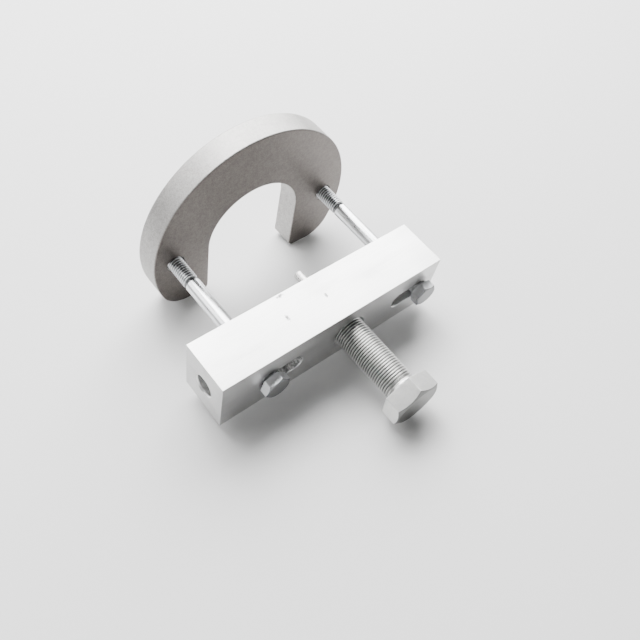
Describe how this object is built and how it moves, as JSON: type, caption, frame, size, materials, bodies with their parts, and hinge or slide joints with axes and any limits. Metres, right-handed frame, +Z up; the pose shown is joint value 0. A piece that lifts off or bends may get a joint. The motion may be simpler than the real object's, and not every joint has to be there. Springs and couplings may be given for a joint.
{
  "type": "coil spring compressor",
  "caption": "Spring compressor: a horseshoe plate held by draw bolts to a slotted cross bar, with a hex-headed forcing screw and a pilot pin through the bar.",
  "frame": {"origin": "on the bench the tool lies on, under the middle of its outline; the tool rests on the plate's two leg ends and the lowest corner of the forcing screw's head, so its own axis leans 8.98 degrees up from +Y", "axes": "+Y from the forcing screw's head towards the plate, +X along the cross bar to its short end, +Z up from the bench"},
  "size_m": [0.1548, 0.169, 0.1092],
  "materials": {
    "blasted_aluminium": "bead-blasted matte",
    "machined_aluminium": "fine machined satin",
    "bright_zinc": "bright zinc plate",
    "screw_steel": "satin zinc plate",
    "pin_steel": "ground"
  },
  "bodies": {
    "plate": {"horseshoe_plate": "blasted_aluminium"},
    "bar": {"cross_bar": "machined_aluminium"},
    "left_bolt": {"draw_bolt_left": "bright_zinc"},
    "right_bolt": {"draw_bolt_right": "bright_zinc"},
    "pin": {"pilot_pin": "pin_steel"},
    "screw": {"forcing_screw": "screw_steel"}
  },
  "joints": [
    {"name": "bar_slide", "type": "slide", "parent": "plate", "child": "bar", "axis": [0, 0.9877, 0.1561], "range_m": [-0.0009, 0.0575]},
    {"name": "left_bolt_turn", "type": "hinge", "parent": "plate", "child": "left_bolt", "pos_m": [-0.0463, 0.06262, 0.03852], "axis": [0, 0.9877, 0.1561], "range_deg": [-360, 270]},
    {"name": "right_bolt_turn", "type": "hinge", "parent": "plate", "child": "right_bolt", "pos_m": [0.0632, 0.06262, 0.03852], "axis": [0, 0.9877, 0.1561], "range_deg": [-360, 270]},
    {"name": "screw_feed", "type": "slide", "parent": "bar", "child": "pin", "axis": [0, 0.9877, 0.1561], "range_m": [-0.01597, 0.04296]},
    {"name": "screw_turn", "type": "hinge", "parent": "pin", "child": "screw", "pos_m": [0.00845, -0.02613, 0.0245], "axis": [0, 0.9877, 0.1561], "range_deg": [-3600, 9720]}
  ],
  "couplings": [
    {"joint": "screw_feed", "follows": "screw_turn", "m_per_rad": 0.00025266}
  ]
}
